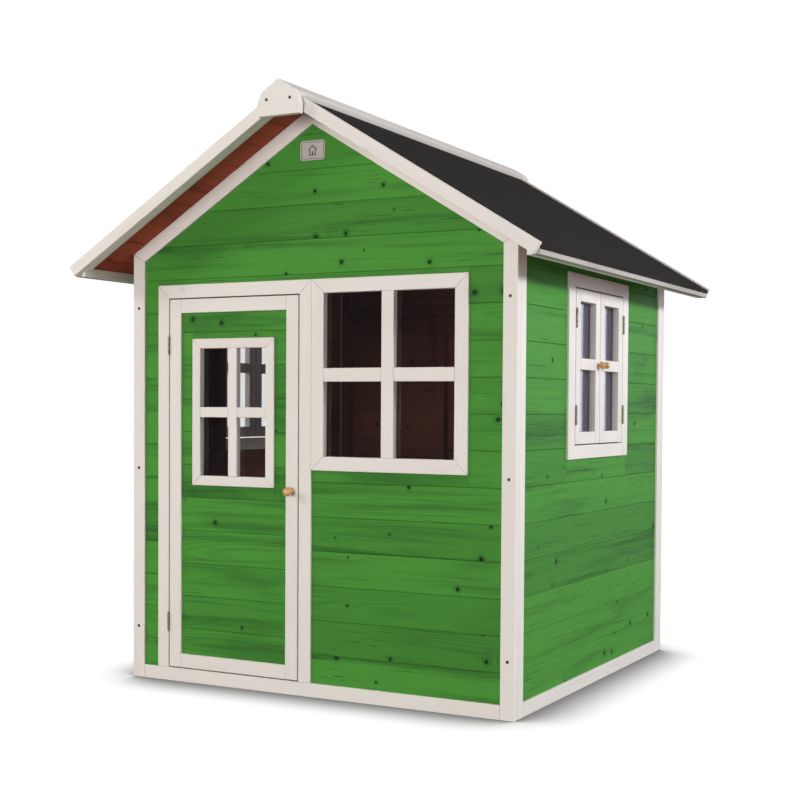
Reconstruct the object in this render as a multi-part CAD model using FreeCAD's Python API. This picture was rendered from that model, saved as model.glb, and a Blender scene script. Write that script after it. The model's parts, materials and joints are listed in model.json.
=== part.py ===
import FreeCAD, Part
import math
import os

V = FreeCAD.Vector

# A child's wooden playhouse: four boarded walls under a felted gable roof, a half-glazed door
# and a fixed window in front, and a pair of side-hung casements in each side wall.
# +X is the right of the front, +Y runs from the front to the back, +Z is up, the ground is z = 0.

# ---- overall sizes (mm) ----
WALL_WIDTH = 1140.0          # over the corner trims, along X
WALL_DEPTH = 1140.0          # over the corner trims, along Y
SHOULDER_HEIGHT = 1157.5     # where the side walls meet the roof
ROOF_PITCH = 31.5            # degrees
FRONT_OVERHANG = 136.0       # wall face to the face of the barge boards
BACK_OVERHANG = 124.0
EAVE_OVERHANG = 103.0        # wall face to the face of the eave fascia

# ---- stock ----
BOARD_COVER = 88.5           # width of a wall board as laid
BOARD_THICKNESS = 14.0
BOARD_CHAMFER = 1.6          # each side of the V joint between two boards
FIRST_JOINT = 22.0           # height of the lowest joint between wall boards
TRIM_WIDTH = 38.0            # corner and gable trims
TRIM_THICKNESS = 20.0
RETURN_WIDTH = 34.0          # corner trims on the side walls
RAIL_HEIGHT = 36.0           # rails along the foot of the walls
BATTEN = 30.0                # square battens inside
STUD_WIDTH = 40.0

# ---- floor ----
JOIST_HEIGHT = 24.0
JOIST_WIDTH = 45.0
JOIST_COUNT = 4
FLOOR_THICKNESS = 12.0
FLOOR_CLEARANCE = 2.0        # floor edge to the inner face of the walls

# ---- roof ----
ROOF_BOARD_THICKNESS = 14.0
FELT_THICKNESS = 3.0
FELT_HEM = 7.0               # felt turned down over the eave fascia
FASCIA_THICKNESS = 18.0
FASCIA_DROP = 4.0            # fascia below the underside of the roof at its own face
BARGE_THICKNESS = 20.0
BARGE_ABOVE = 22.0           # barge board above the underside of the roof, square to the slope
BARGE_BELOW = 8.5
BARGE_SET_BACK = 6.0         # barge end inside the fascia face
VERGE_BATTEN_WIDTH = 18.0
EAVE_BATTEN_WIDTH = 15.0
CAP_THICKNESS = 15.0
CAP_WIDTH = 65.0             # top face of a ridge cap
CAP_PAST_BARGE = 4.0
PLATE_THICKNESS = 18.0       # end plates of the ridge
PLATE_DEPTH = 89.0           # peak to the lower edge
PLATE_HALF_WIDTH = 62.0
PLATE_FOOT_HALF_WIDTH = 60.0
PLATE_WIDEST_DROP = 63.0     # peak down to the widest point
PLATE_SHOULDER_INSET = 5.0   # where its sloping top edge ends, inside the edge of the caps
PLATE_SCREW_OFFSET = 33.5
PLATE_SCREW_DROP = 49.5

# ---- door and front window ----
LEFT_STRIP = 46.5            # boards between the left corner trim and the door frame
FRAME_WIDTH = 36.0           # members of the door frame and of the window frames
GAP = 3.0                    # between a leaf and its frame
DOOR_WIDTH = 408.0
DOOR_HEIGHT = 992.0
LEAF_CLEARANCE = 1.0         # back of a closed leaf to its stops
STILE_WIDTH = 37.0
DOOR_FIRST_JOINT = 57.0
DOOR_PANEL_SET_BACK = 6.0
WINDOW_WIDTH = 369.0         # daylight size of the front window
WINDOW_HEIGHT = 415.5
WINDOW_BAR = 34.5
DOOR_WINDOW_WIDTH = 259.5    # over its own frame
DOOR_WINDOW_HEIGHT = 391.0
DOOR_WINDOW_TOP = 106.5      # below the top of the door
DOOR_WINDOW_FRAME = 26.0
DOOR_WINDOW_BAR = 27.0
LEDGE_HEIGHT = 45.0
LEDGE_THICKNESS = 14.0
LEDGE_CLEARANCE = 6.0        # ledge ends to the door stops
PANE_THICKNESS = 2.0
PANE_LAP = 10.0              # pane past the edge of its opening
STOP_LAP = 8.0               # stops past the edge of a closed leaf

# ---- casements in the side walls ----
CASEMENT_SILL = 648.0        # foot of the opening
CASEMENT_OPENING_WIDTH = 372.0
CASEMENT_OPENING_HEIGHT = 413.0
CASEMENT_JAMB_WIDTH = 47.0
SASH_STILE = 32.0
SASH_MIDDLE_RAIL = 30.0
SASH_MIDDLE_HEIGHT = 211.0   # foot of the sash to the middle of its middle rail

# ---- hinges, knobs, plate and screws ----
HINGE_HEIGHT = 50.0
HINGE_BARREL_RADIUS = 2.6
HINGE_PIN_RADIUS = 1.2
HINGE_PIN_CLEARANCE = 0.05   # radial
HINGE_LEAF_THICKNESS = 1.0
HINGE_LEAF_DEPTH = 16.0
HINGE_STAND_OFF = 0.3        # barrel clear of the face
KNUCKLE_GAP = 0.4
PIN_HEAD_RADIUS = 2.0
PIN_HEAD_HEIGHT = 1.2
DOOR_HINGE_INSET = 122.0     # middle of a hinge to the nearer end of the leaf
SASH_HINGE_INSET = 77.0
DOOR_KNOB_RADIUS = 12.0
DOOR_KNOB_REACH = 32.0
DOOR_KNOB_HEIGHT = 488.0     # above the foot of the door
SASH_KNOB_RADIUS = 9.5
SASH_KNOB_REACH = 21.5
KNOB_NECK_RATIO = 0.5        # radius of the neck over that of the ball
KNOB_FOOT_RATIO = 0.72
CATCH_LENGTH = 24.0          # magnetic catches under the head stops
CATCH_HEIGHT = 12.0
CATCH_DEPTH = 10.0
CATCH_INSET = 14.0           # catch to the free edge of the leaf
KEEPER_THICKNESS = 0.5
KEEPER_GAP = 0.3
NAME_PLATE_WIDTH = 73.0
NAME_PLATE_HEIGHT = 50.0
NAME_PLATE_THICKNESS = 3.0
NAME_PLATE_CORNER = 8.0
NAME_PLATE_DROP = 41.2       # apex of the wall boards down to the top of the plate
SCREW_RADIUS = 4.0
SCREW_PROUD = 0.8
SCREW_SLOT_LENGTH = 4.8
SCREW_SLOT_WIDTH = 1.2
SCREW_SLOT_DEPTH = 0.5
POST_SCREW_FIRST = 141.0     # height of the lowest screw of a corner trim
POST_SCREW_SPACING = 434.5
POST_SCREW_COUNT = 3
OVERCUT = 1.0                # cutters past the faces they cut

# ---- what follows from them ----
SLOPE = math.tan(math.radians(ROOF_PITCH))
COS = math.cos(math.radians(ROOF_PITCH))
SIN = math.sin(math.radians(ROOF_PITCH))
HALF_WIDTH = WALL_WIDTH / 2
PLATE_PROUD = CAP_PAST_BARGE + PLATE_THICKNESS
ROOF_LENGTH = FRONT_OVERHANG + WALL_DEPTH + BACK_OVERHANG
FRONT_Y = FRONT_OVERHANG - ROOF_LENGTH / 2     # outer face of the front wall's trims
BACK_Y = FRONT_Y + WALL_DEPTH
ROOF_FRONT_Y = FRONT_Y - FRONT_OVERHANG        # outer face of the front barge boards
ROOF_BACK_Y = BACK_Y + BACK_OVERHANG
BOARD_SET_BACK = TRIM_THICKNESS - BOARD_THICKNESS
INNER_X = HALF_WIDTH - TRIM_THICKNESS          # inner face of the side walls
INNER_FRONT_Y = FRONT_Y + TRIM_THICKNESS
INNER_BACK_Y = BACK_Y - TRIM_THICKNESS
FLOOR_TOP = JOIST_HEIGHT + FLOOR_THICKNESS
FASCIA_X = HALF_WIDTH + EAVE_OVERHANG          # outer face of the eave fascia
GABLE_DROP = TRIM_WIDTH / COS                  # height of a gable trim, measured plumb
LEAF_THICKNESS = TRIM_THICKNESS - LEAF_CLEARANCE

OPENING_LEFT = -HALF_WIDTH + TRIM_WIDTH + LEFT_STRIP + FRAME_WIDTH    # door opening
OPENING_RIGHT = OPENING_LEFT + DOOR_WIDTH + 2 * GAP
OPENING_TOP = RAIL_HEIGHT + DOOR_HEIGHT + 2 * GAP
FRAME_LEFT = OPENING_LEFT - FRAME_WIDTH
FRAME_TOP = OPENING_TOP + FRAME_WIDTH
FRAME_SPLIT = OPENING_RIGHT + FRAME_WIDTH      # between the door frame and the window frame
WINDOW_LEFT = FRAME_SPLIT + FRAME_WIDTH
WINDOW_RIGHT = WINDOW_LEFT + WINDOW_WIDTH
WINDOW_FOOT = OPENING_TOP - WINDOW_HEIGHT
FRAME_RIGHT = WINDOW_RIGHT + FRAME_WIDTH
WINDOW_FRAME_FOOT = WINDOW_FOOT - FRAME_WIDTH

DOOR_LEFT = OPENING_LEFT + GAP
DOOR_RIGHT = DOOR_LEFT + DOOR_WIDTH
DOOR_FOOT = RAIL_HEIGHT + GAP
DOOR_TOP = DOOR_FOOT + DOOR_HEIGHT
DOOR_BACK_Y = FRONT_Y + LEAF_THICKNESS

MIDDLE_Y = (FRONT_Y + BACK_Y) / 2
CASEMENT_FRONT_Y = MIDDLE_Y - CASEMENT_OPENING_WIDTH / 2
CASEMENT_BACK_Y = MIDDLE_Y + CASEMENT_OPENING_WIDTH / 2
CASEMENT_TOP = CASEMENT_SILL + CASEMENT_OPENING_HEIGHT
SASH_WIDTH = (CASEMENT_OPENING_WIDTH - 3 * GAP) / 2
SASH_HEIGHT = CASEMENT_OPENING_HEIGHT - 2 * GAP
SASH_FOOT = CASEMENT_SILL + GAP
BARREL_OFFSET = HINGE_BARREL_RADIUS + HINGE_STAND_OFF    # hinge axis in front of the face


def underside(x):
    """Height of the underside of the roof boards at x."""
    return SHOULDER_HEIGHT + (HALF_WIDTH - abs(x)) * SLOPE


def slope_height(x, above):
    """Height at x of the plane that lies a distance above the underside, square to the slope."""
    return underside(x) + above / COS


def box(x0, x1, y0, y1, z0, z1):
    return Part.makeBox(x1 - x0, y1 - y0, z1 - z0, V(x0, y0, z0))


def prism_x(points, x0, x1):
    """A polygon of (y, z) points carried from x0 to x1."""
    ring = [V(x0, y, z) for y, z in points]
    return Part.Face(Part.makePolygon(ring + ring[:1])).extrude(V(x1 - x0, 0, 0))


def prism_y(points, y0, y1):
    """A polygon of (x, z) points carried from y0 to y1."""
    ring = [V(x, y0, z) for x, z in points]
    return Part.Face(Part.makePolygon(ring + ring[:1])).extrude(V(0, y1 - y0, 0))


def mirror_x(shapes):
    return [shape.mirror(V(0, 0, 0), V(1, 0, 0)) for shape in shapes]


def mirror_depth(shapes):
    """The same pieces at the other end of the walls."""
    return [shape.mirror(V(0, MIDDLE_Y, 0), V(0, 1, 0)) for shape in shapes]


def both_sides(shapes):
    return shapes + mirror_x(shapes)


def save(node, shapes):
    solids = [solid for shape in shapes for solid in shape.Solids]
    body = solids[0] if len(solids) == 1 else Part.makeCompound(solids)
    body.exportStep("parts/" + node + ".step")


def board_outline(face, back, foot, top, foot_joint=True, top_joint=True):
    """Section of a board across its length, chamfered where it meets its neighbours."""
    inward = 1 if back > face else -1
    low = BOARD_CHAMFER if foot_joint else 0
    high = BOARD_CHAMFER if top_joint else 0
    points = [(back, foot), (back, top)]
    if high:
        points += [(face + inward * high, top), (face, top - high)]
    else:
        points += [(face, top)]
    if low:
        points += [(face, foot + low), (face + inward * low, foot)]
    else:
        points += [(face, foot)]
    return points


def courses(foot, top, first_joint):
    """Foot and top of each course of boards, and whether a joint is at each."""
    joints = [foot]
    joint = first_joint
    while joint <= foot:
        joint += BOARD_COVER
    while joint < top:
        joints.append(joint)
        joint += BOARD_COVER
    joints.append(top)
    last = len(joints) - 2
    return [(joints[i], joints[i + 1], i > 0, i < last) for i in range(last + 1)]


def split_round(low, high, foot, top, holes):
    """Rectangles of a course that are left beside, below and above rectangular holes."""
    edges = {low, high}
    for left, right, _, _ in holes:
        edges.update(e for e in (left, right) if low < e < high)
    edges = sorted(edges)
    pieces = []
    for a, b in zip(edges, edges[1:]):
        spans = [(foot, top)]
        for left, right, hole_foot, hole_top in holes:
            if left < b and right > a:
                spans = [
                    part
                    for s, e in spans
                    for part in ((s, min(e, hole_foot)), (max(s, hole_top), e))
                    if part[1] > part[0]
                ]
        pieces += [(a, b, s, e) for s, e in spans]
    joined = []
    for piece in pieces:
        if joined and joined[-1][1] == piece[0] and joined[-1][2:] == piece[2:]:
            joined[-1] = (joined[-1][0], piece[1]) + piece[2:]
        else:
            joined.append(piece)
    return joined


def gable_boards(holes):
    """Boards of the front wall, cut round its frames and under the gable trims."""
    edge = HALF_WIDTH - TRIM_WIDTH
    peak = underside(0) - GABLE_DROP
    shoulder = underside(edge) - GABLE_DROP
    face = FRONT_Y + BOARD_SET_BACK
    outline = [(-edge, RAIL_HEIGHT), (edge, RAIL_HEIGHT), (edge, shoulder), (0, peak), (-edge, shoulder)]
    panel = prism_y(outline, face, INNER_FRONT_Y)
    boards = []
    for foot, top, low, high in courses(RAIL_HEIGHT, peak, FIRST_JOINT):
        section = board_outline(face, INNER_FRONT_Y, foot, top, low, high)
        course = prism_x(section, -edge, edge).common(panel)
        for a, b, s, e in split_round(-edge, edge, foot, top, holes):
            boards += course.common(box(a, b, face, INNER_FRONT_Y, s, e)).Solids
    return boards


def side_boards():
    """Boards of the right wall, cut round the window frame."""
    face = HALF_WIDTH - BOARD_SET_BACK
    low_y = INNER_FRONT_Y + RETURN_WIDTH
    high_y = INNER_BACK_Y - RETURN_WIDTH
    hole = (
        CASEMENT_FRONT_Y - CASEMENT_JAMB_WIDTH,
        CASEMENT_BACK_Y + CASEMENT_JAMB_WIDTH,
        CASEMENT_SILL - FRAME_WIDTH,
        CASEMENT_TOP + FRAME_WIDTH,
    )
    boards = []
    for foot, top, low, high in courses(RAIL_HEIGHT, SHOULDER_HEIGHT, FIRST_JOINT):
        course = prism_y(board_outline(face, INNER_X, foot, top, low, high), low_y, high_y)
        for a, b, s, e in split_round(low_y, high_y, foot, top, [hole]):
            boards += course.common(box(INNER_X, face, a, b, s, e)).Solids
    return boards


def corner_trims():
    """Front corner trims, mitred under the gable trims."""
    edge = HALF_WIDTH - TRIM_WIDTH
    outline = [
        (edge, 0),
        (HALF_WIDTH, 0),
        (HALF_WIDTH, underside(HALF_WIDTH)),
        (edge, underside(edge) - GABLE_DROP),
    ]
    return both_sides([prism_y(outline, FRONT_Y, INNER_FRONT_Y)])


def gable_trims():
    edge = HALF_WIDTH - TRIM_WIDTH
    outline = [
        (0, underside(0) - GABLE_DROP),
        (edge, underside(edge) - GABLE_DROP),
        (HALF_WIDTH, underside(HALF_WIDTH)),
        (0, underside(0)),
    ]
    return both_sides([prism_y(outline, FRONT_Y, INNER_FRONT_Y)])


def return_trims():
    """Trims on the side walls that meet the front and back corner trims."""
    front = box(INNER_X, HALF_WIDTH, INNER_FRONT_Y, INNER_FRONT_Y + RETURN_WIDTH, 0, SHOULDER_HEIGHT)
    pair = [front] + mirror_depth([front])
    return both_sides(pair)


def bottom_rails():
    edge = HALF_WIDTH - TRIM_WIDTH
    front = box(-edge, edge, FRONT_Y, INNER_FRONT_Y, 0, RAIL_HEIGHT)
    low_y = INNER_FRONT_Y + RETURN_WIDTH
    high_y = INNER_BACK_Y - RETURN_WIDTH
    side = box(INNER_X, HALF_WIDTH, low_y, high_y, 0, RAIL_HEIGHT)
    return [front] + mirror_depth([front]) + both_sides([side])


def mitred_frame(a0, a1, z0, z1, side, head, make):
    """Four members mitred round an outer rectangle; make turns an outline into a solid."""
    left = [(a0, z0), (a0 + side, z0 + head), (a0 + side, z1 - head), (a0, z1)]
    right = [(a1, z0), (a1, z1), (a1 - side, z1 - head), (a1 - side, z0 + head)]
    foot = [(a0, z0), (a1, z0), (a1 - side, z0 + head), (a0 + side, z0 + head)]
    top = [(a0, z1), (a0 + side, z1 - head), (a1 - side, z1 - head), (a1, z1)]
    return [make(outline) for outline in (left, right, foot, top)]


def door_frame():
    """Two jambs and a head; the bottom rail is the threshold."""
    left = [
        (FRAME_LEFT, RAIL_HEIGHT),
        (OPENING_LEFT, RAIL_HEIGHT),
        (OPENING_LEFT, OPENING_TOP),
        (FRAME_LEFT, FRAME_TOP),
    ]
    right = [
        (OPENING_RIGHT, RAIL_HEIGHT),
        (FRAME_SPLIT, RAIL_HEIGHT),
        (FRAME_SPLIT, FRAME_TOP),
        (OPENING_RIGHT, OPENING_TOP),
    ]
    head = [
        (FRAME_LEFT, FRAME_TOP),
        (OPENING_LEFT, OPENING_TOP),
        (OPENING_RIGHT, OPENING_TOP),
        (FRAME_SPLIT, FRAME_TOP),
    ]
    return [prism_y(outline, FRONT_Y, INNER_FRONT_Y) for outline in (left, right, head)]


def front_window_frame():
    def make(outline):
        return prism_y(outline, FRONT_Y, INNER_FRONT_Y)

    return mitred_frame(
        FRAME_SPLIT, FRAME_RIGHT, WINDOW_FRAME_FOOT, FRAME_TOP, FRAME_WIDTH, FRAME_WIDTH, make
    )


def bars(x0, x1, z0, z1, width, y0, y1):
    """One upright bar and two short cross bars in an opening."""
    middle_x = (x0 + x1) / 2
    middle_z = (z0 + z1) / 2
    half = width / 2
    return [
        box(middle_x - half, middle_x + half, y0, y1, z0, z1),
        box(x0, middle_x - half, y0, y1, middle_z - half, middle_z + half),
        box(middle_x + half, x1, y0, y1, middle_z - half, middle_z + half),
    ]


def side_window_frame():
    def make(outline):
        return prism_x(outline, INNER_X, HALF_WIDTH)

    return mitred_frame(
        CASEMENT_FRONT_Y - CASEMENT_JAMB_WIDTH,
        CASEMENT_BACK_Y + CASEMENT_JAMB_WIDTH,
        CASEMENT_SILL - FRAME_WIDTH,
        CASEMENT_TOP + FRAME_WIDTH,
        CASEMENT_JAMB_WIDTH,
        FRAME_WIDTH,
        make,
    )


def window_linings():
    """Battens behind the jambs of a side window, and one at its head that stops both sashes."""
    x0 = INNER_X - BATTEN
    outer_front = CASEMENT_FRONT_Y - CASEMENT_JAMB_WIDTH
    outer_back = CASEMENT_BACK_Y + CASEMENT_JAMB_WIDTH
    foot = CASEMENT_SILL - FRAME_WIDTH
    top = CASEMENT_TOP + FRAME_WIDTH
    head_foot = SASH_FOOT + SASH_HEIGHT - STOP_LAP
    return [
        box(x0, INNER_X, outer_front, outer_front + BATTEN, foot, top),
        box(x0, INNER_X, outer_back - BATTEN, outer_back, foot, top),
        box(x0, INNER_X, outer_front + BATTEN, outer_back - BATTEN, head_foot, top),
    ]


def wall_plates():
    """Battens along the top of the side walls, bevelled under the roof."""
    x0 = INNER_X - BATTEN
    foot = SHOULDER_HEIGHT - BATTEN
    outline = [(x0, foot), (INNER_X, foot), (INNER_X, underside(INNER_X)), (x0, underside(x0))]
    return both_sides([prism_y(outline, INNER_FRONT_Y, INNER_BACK_Y)])


def corner_posts():
    x0 = INNER_X - BATTEN
    top = SHOULDER_HEIGHT - BATTEN
    front = box(x0, INNER_X, INNER_FRONT_Y, INNER_FRONT_Y + BATTEN, FLOOR_TOP, top)
    return both_sides([front] + mirror_depth([front]))


def wall_studs():
    """Studs, lintel, sill and stops behind the front wall, and the back wall's studs."""
    y0 = INNER_FRONT_Y
    y1 = INNER_FRONT_Y + BATTEN
    reach = INNER_X - BATTEN
    lintel_foot = OPENING_TOP + PANE_LAP
    lintel_top = lintel_foot + BATTEN
    stop_left = DOOR_LEFT + STOP_LAP
    stop_right = DOOR_RIGHT - STOP_LAP
    stop_foot = DOOR_TOP - STOP_LAP
    window_stud = WINDOW_RIGHT + PANE_LAP
    sill_top = WINDOW_FOOT - PANE_LAP
    front = [
        box(-reach, reach, y0, y1, lintel_foot, lintel_top),
        box(stop_left - STUD_WIDTH, stop_left, y0, y1, FLOOR_TOP, lintel_foot),
        box(stop_right, stop_right + STUD_WIDTH, y0, y1, FLOOR_TOP, lintel_foot),
        box(stop_left, stop_right, y0, y1, stop_foot, lintel_foot),
        box(window_stud, min(window_stud + BATTEN, reach), y0, y1, FLOOR_TOP, lintel_foot),
        box(stop_right + STUD_WIDTH, window_stud, y0, y1, WINDOW_FRAME_FOOT, sill_top),
    ]
    third = reach / 3
    back_y0 = INNER_BACK_Y - BATTEN
    half = BATTEN / 2
    back = [
        box(x - half, x + half, back_y0, INNER_BACK_Y, FLOOR_TOP, lintel_foot)
        for x in (-third, third)
    ]
    back.append(box(-reach, reach, back_y0, INNER_BACK_Y, lintel_foot, lintel_top))
    return front + back


def floor_joists():
    reach = INNER_X - FLOOR_CLEARANCE
    y0 = INNER_FRONT_Y + FLOOR_CLEARANCE
    y1 = INNER_BACK_Y - FLOOR_CLEARANCE
    pitch = (y1 - y0 - JOIST_WIDTH) / (JOIST_COUNT - 1)
    return [
        box(-reach, reach, y0 + i * pitch, y0 + i * pitch + JOIST_WIDTH, 0, JOIST_HEIGHT)
        for i in range(JOIST_COUNT)
    ]


def floor_boards():
    """Boards laid front to back, with their chamfered joints upward."""
    reach = INNER_X - FLOOR_CLEARANCE
    y0 = INNER_FRONT_Y + FLOOR_CLEARANCE
    y1 = INNER_BACK_Y - FLOOR_CLEARANCE
    count = math.ceil(2 * reach / BOARD_COVER)
    width = 2 * reach / count
    boards = []
    for i in range(count):
        section = board_outline(FLOOR_TOP, JOIST_HEIGHT, 0, width, i > 0, i < count - 1)
        outline = [(-reach + i * width + across, height) for height, across in section]
        boards.append(prism_y(outline, y0, y1))
    return boards


def roof_boards():
    """Right slope: boards along Y from the ridge to the fascia, chamfered underneath."""
    y0 = ROOF_FRONT_Y + BARGE_THICKNESS
    y1 = ROOF_BACK_Y - BARGE_THICKNESS
    inner = FASCIA_X - FASCIA_THICKNESS
    count = math.ceil(inner / COS / BOARD_COVER)
    clip = box(0, inner, y0, y1, 0, slope_height(0, ROOF_BOARD_THICKNESS))
    past = ROOF_BOARD_THICKNESS
    boards = []
    for i in range(count):
        start = i * BOARD_COVER if i else -past
        end = (i + 1) * BOARD_COVER if i < count - 1 else count * BOARD_COVER + past
        section = board_outline(0, ROOF_BOARD_THICKNESS, start, end, i > 0, i < count - 1)
        outline = [
            (along * COS + above * SIN, underside(0) - along * SIN + above * COS)
            for above, along in section
        ]
        boards += prism_y(outline, y0, y1).common(clip).Solids
    return boards


def slope_strip(x0, x1, below, above, y0, y1):
    """A strip that follows the right slope between two plumb cuts."""
    outline = [
        (x0, slope_height(x0, below)),
        (x1, slope_height(x1, below)),
        (x1, slope_height(x1, above)),
        (x0, slope_height(x0, above)),
    ]
    return prism_y(outline, y0, y1)


def roof_felt():
    """Felt over each slope, turned down over the eave fascia."""
    top = ROOF_BOARD_THICKNESS + FELT_THICKNESS
    hem_x = FASCIA_X + FELT_THICKNESS
    y0 = ROOF_FRONT_Y + BARGE_THICKNESS
    y1 = ROOF_BACK_Y - BARGE_THICKNESS
    sheet = slope_strip(0, hem_x, ROOF_BOARD_THICKNESS, top, y0, y1)
    hem_top = slope_height(FASCIA_X, ROOF_BOARD_THICKNESS)
    hem_foot = hem_top - FELT_HEM
    outline = [
        (FASCIA_X, hem_foot),
        (hem_x, hem_foot),
        (hem_x, slope_height(hem_x, ROOF_BOARD_THICKNESS)),
        (FASCIA_X, hem_top),
    ]
    return both_sides([sheet, prism_y(outline, y0, y1)])


def square_ended(end_x, below, above, y0, y1):
    """A board up the right slope, mitred at the ridge and cut square at its foot."""
    outline = [
        (0, slope_height(0, below)),
        (end_x + below * SIN, underside(end_x) + below * COS),
        (end_x + above * SIN, underside(end_x) + above * COS),
        (0, slope_height(0, above)),
    ]
    return prism_y(outline, y0, y1)


def barge_boards(y0):
    end_x = FASCIA_X - BARGE_SET_BACK
    board = square_ended(end_x, -BARGE_BELOW, BARGE_ABOVE, y0, y0 + BARGE_THICKNESS)
    return both_sides([board])


def eave_fascias():
    inner = FASCIA_X - FASCIA_THICKNESS
    foot = underside(FASCIA_X) - FASCIA_DROP
    outline = [
        (inner, foot),
        (FASCIA_X, foot),
        (FASCIA_X, slope_height(FASCIA_X, ROOF_BOARD_THICKNESS)),
        (inner, slope_height(inner, ROOF_BOARD_THICKNESS)),
    ]
    y0 = ROOF_FRONT_Y + BARGE_THICKNESS
    y1 = ROOF_BACK_Y - BARGE_THICKNESS
    return both_sides([prism_y(outline, y0, y1)])


def roof_edge_battens():
    """Battens under the rim of the roof: along both eaves and behind the barge boards."""
    outer = FASCIA_X - FASCIA_THICKNESS
    inner = outer - EAVE_BATTEN_WIDTH
    foot = underside(FASCIA_X) - FASCIA_DROP
    y0 = ROOF_FRONT_Y + BARGE_THICKNESS
    y1 = ROOF_BACK_Y - BARGE_THICKNESS
    outline = [(inner, foot), (outer, foot), (outer, underside(outer)), (inner, underside(inner))]
    eave = prism_y(outline, y0, y1)
    front = slope_strip(0, inner, -BARGE_BELOW, 0, y0, y0 + VERGE_BATTEN_WIDTH)
    back = slope_strip(0, inner, -BARGE_BELOW, 0, y1 - VERGE_BATTEN_WIDTH, y1)
    return both_sides([eave, front, back])


def rafters():
    """Battens under the roof boards, against the front and back walls and midway."""
    reach = INNER_X - BATTEN
    starts = [INNER_FRONT_Y, MIDDLE_Y - BATTEN / 2, INNER_BACK_Y - BATTEN]
    return both_sides([slope_strip(0, reach, -BATTEN, 0, y, y + BATTEN) for y in starts])


def ridge_caps():
    """Two boards over the ridge, the left one lapping the upper edge of the right one."""
    foot = ROOF_BOARD_THICKNESS + FELT_THICKNESS
    top = foot + CAP_THICKNESS
    edge_x = CAP_WIDTH * COS - top * SIN
    lap_x = CAP_THICKNESS / (2 * SIN)
    lap = (lap_x, slope_height(lap_x, top))
    low = (edge_x + foot * SIN, underside(edge_x) + foot * COS)
    high = (edge_x + top * SIN, underside(edge_x) + top * COS)
    right = [(0, slope_height(0, foot)), low, high, lap]
    left = [(-low[0], low[1]), (-high[0], high[1]), (0, slope_height(0, top)), lap]
    y0 = ROOF_FRONT_Y - CAP_PAST_BARGE
    y1 = ROOF_BACK_Y + CAP_PAST_BARGE
    barges = []
    for start in (ROOF_FRONT_Y, ROOF_BACK_Y - BARGE_THICKNESS):
        barges += barge_boards(start)
    barges = Part.makeCompound(barges)
    return [prism_y(outline, y0, y1).cut(barges) for outline in (left, right)]


def ridge_plates():
    """Shaped end plates over the ends of the caps."""
    peak = slope_height(0, ROOF_BOARD_THICKNESS + FELT_THICKNESS + CAP_THICKNESS)
    shoulder_x = CAP_WIDTH * COS - PLATE_SHOULDER_INSET
    right = [
        (shoulder_x, peak - shoulder_x * SLOPE),
        (PLATE_HALF_WIDTH, peak - PLATE_WIDEST_DROP),
        (PLATE_FOOT_HALF_WIDTH, peak - PLATE_DEPTH),
    ]
    outline = [(0, peak)] + right + [(-x, z) for x, z in reversed(right)]
    y1 = ROOF_FRONT_Y - CAP_PAST_BARGE
    y2 = ROOF_BACK_Y + CAP_PAST_BARGE
    return [
        prism_y(outline, y1 - PLATE_THICKNESS, y1),
        prism_y(outline, y2, y2 + PLATE_THICKNESS),
    ]


def name_plate():
    """A plain plate with rounded corners, high on the front gable."""
    y1 = FRONT_Y + BOARD_SET_BACK
    y0 = y1 - NAME_PLATE_THICKNESS
    half = NAME_PLATE_WIDTH / 2
    top = underside(0) - GABLE_DROP - NAME_PLATE_DROP
    plate = box(-half, half, y0, y1, top - NAME_PLATE_HEIGHT, top)
    corners = [edge for edge in plate.Edges if abs(edge.tangentAt(0).y) > 0.9]
    return [plate.makeFillet(NAME_PLATE_CORNER, corners)]


def screw(x, z, face, outward):
    """A screw head with a cross slot, standing on a face that looks along Y."""
    head = Part.makeCylinder(SCREW_RADIUS, SCREW_PROUD, V(x, face, z), V(0, outward, 0))
    top = face + outward * SCREW_PROUD
    y0, y1 = sorted((top, top - outward * SCREW_SLOT_DEPTH))
    arm = SCREW_SLOT_LENGTH / 2
    half = SCREW_SLOT_WIDTH / 2
    flat = box(x - arm, x + arm, y0, y1, z - half, z + half)
    upright = box(x - half, x + half, y0, y1, z - arm, z + arm)
    return head.cut(flat).cut(upright)


def screws():
    post_x = HALF_WIDTH - TRIM_WIDTH / 2
    heads = []
    for x in (-post_x, post_x):
        for i in range(POST_SCREW_COUNT):
            z = POST_SCREW_FIRST + i * POST_SCREW_SPACING
            heads.append(screw(x, z, FRONT_Y, -1))
            heads.append(screw(x, z, BACK_Y, 1))
    peak = slope_height(0, ROOF_BOARD_THICKNESS + FELT_THICKNESS + CAP_THICKNESS)
    for x in (-PLATE_SCREW_OFFSET, PLATE_SCREW_OFFSET):
        heads.append(screw(x, peak - PLATE_SCREW_DROP, ROOF_FRONT_Y - PLATE_PROUD, -1))
        heads.append(screw(x, peak - PLATE_SCREW_DROP, ROOF_BACK_Y + PLATE_PROUD, 1))
    return heads


def knob(radius, reach):
    """A turned knob along +Z: a waisted neck under a ball."""
    foot = radius * KNOB_FOOT_RATIO
    neck = radius * KNOB_NECK_RATIO
    centre = reach - radius
    seat = centre - math.sqrt(radius ** 2 - neck ** 2)
    profile = [
        Part.LineSegment(V(0, 0, 0), V(foot, 0, 0)),
        Part.LineSegment(V(foot, 0, 0), V(neck, 0, seat / 2)),
        Part.LineSegment(V(neck, 0, seat / 2), V(neck, 0, seat)),
        Part.Arc(V(neck, 0, seat), V(radius, 0, centre), V(0, 0, reach)),
        Part.LineSegment(V(0, 0, reach), V(0, 0, 0)),
    ]
    wire = Part.Wire([curve.toShape() for curve in profile])
    return Part.Face(wire).revolve(V(0, 0, 0), V(0, 0, 1), 360)


def place_knob(shape, position, outward):
    shape.Placement = FreeCAD.Placement(position, FreeCAD.Rotation(V(0, 0, 1), outward))
    return shape


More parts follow.
